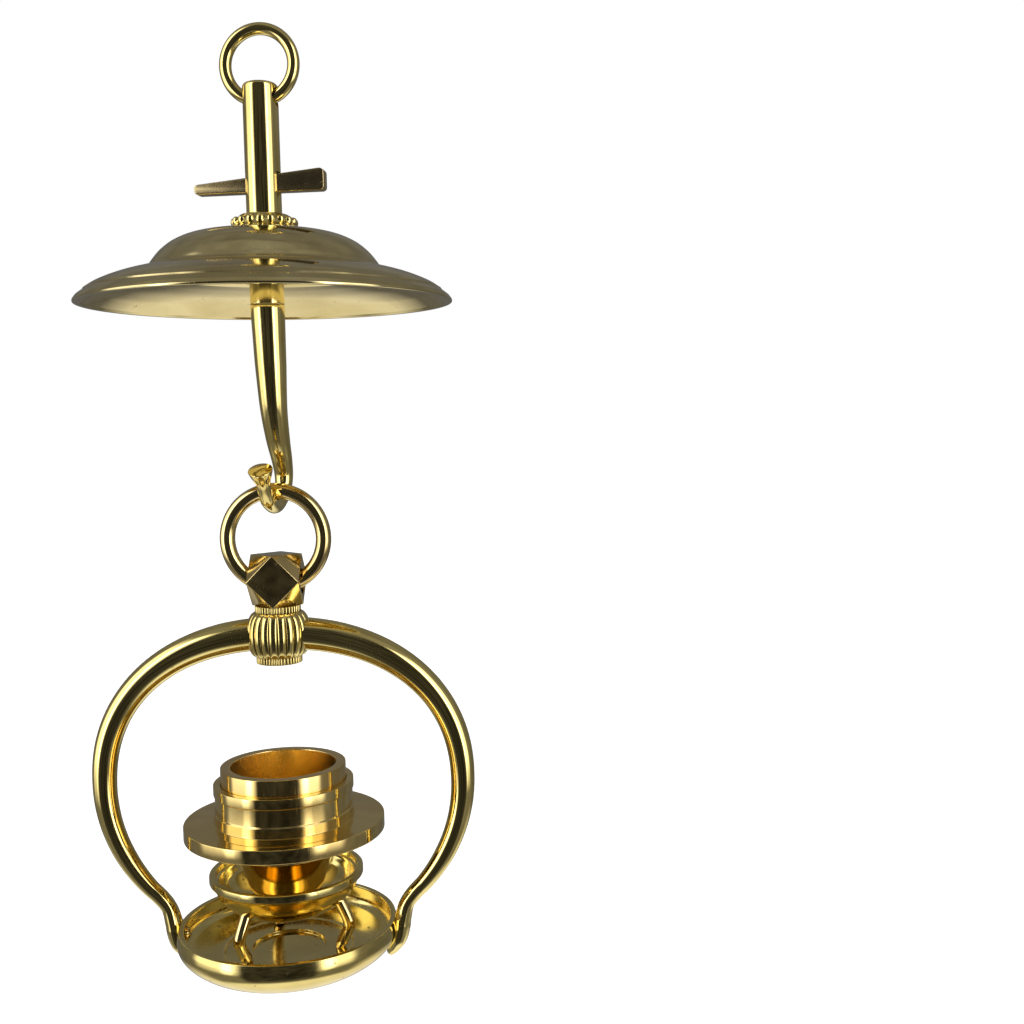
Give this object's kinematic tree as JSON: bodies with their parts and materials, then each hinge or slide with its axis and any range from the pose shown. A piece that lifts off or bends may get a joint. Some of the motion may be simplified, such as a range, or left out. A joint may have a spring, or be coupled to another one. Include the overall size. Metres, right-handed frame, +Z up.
{
  "type": "sanctuary lamp",
  "caption": "Hanging brass sanctuary lamp: ring and wedged stem over an umbrella shade, hook, swing ring, bail, dish, footed saucer, flanged holder and lift-out cup.",
  "frame": {"origin": "inner top of the hanging ring, the point where the lamp hangs", "axes": "+Z up along the stem, +X across the bail, +Y towards the back; the hook's tip and the ring's face point to -Y, 7 degrees off"},
  "size_m": [0.0968, 0.0908, 0.2338],
  "materials": {
    "polished_brass": "mirror polished, lightly scratched",
    "spun_brass": "spun and polished, with faint turning rings and tarnish specks",
    "turned_brass": "turned, polished outside and satin in the bore and on the flange",
    "stud_brass": "plain drawn bar"
  },
  "bodies": {
    "hanger": {"hanging_ring": "polished_brass"},
    "canopy": {"stem_tube": "polished_brass", "bead_collar": "spun_brass", "shade": "spun_brass", "spacer_sleeve": "polished_brass", "hook": "polished_brass"},
    "key": {"wedge": "polished_brass"},
    "link": {"swing_ring": "polished_brass"},
    "bail": {"faceted_block": "polished_brass", "neck_collar": "polished_brass", "ribbed_knot": "polished_brass", "knot_stud": "stud_brass", "knurled_nut": "polished_brass", "bail": "polished_brass", "rivet_left": "polished_brass", "rivet_right": "polished_brass", "dish": "spun_brass"},
    "stand": {"saucer": "spun_brass", "saucer_leg_1": "polished_brass", "saucer_leg_2": "polished_brass", "saucer_leg_3": "polished_brass"},
    "holder": {"flanged_holder": "turned_brass"},
    "cup": {"inner_cup": "turned_brass"}
  },
  "joints": [
    {"name": "stem_swing", "type": "hinge", "parent": "hanger", "child": "canopy", "pos_m": [0, 0, -0.01493], "axis": [0.9925, -0.1219, 0], "range_deg": [-45, 45]},
    {"name": "wedge_slide", "type": "slide", "parent": "canopy", "child": "key", "axis": [0.9925, -0.1219, 0], "range_m": [0, 0.026]},
    {"name": "ring_swing", "type": "hinge", "parent": "canopy", "child": "link", "pos_m": [0, 0, -0.1144], "axis": [0.1219, 0.9925, 0], "range_deg": [-25, 25]},
    {"name": "bail_swing", "type": "hinge", "parent": "link", "child": "bail", "pos_m": [0, 0, -0.1334], "axis": [1, 0, 0], "range_deg": [-35, 35]},
    {"name": "saucer_lift", "type": "slide", "parent": "bail", "child": "stand", "axis": [0, 0, 1], "range_m": [0, 0.003]},
    {"name": "holder_lift", "type": "slide", "parent": "stand", "child": "holder", "axis": [0, 0, 1], "range_m": [0, 0.007]},
    {"name": "cup_lift", "type": "slide", "parent": "holder", "child": "cup", "axis": [0, 0, 1], "range_m": [0, 0.014]}
  ]
}
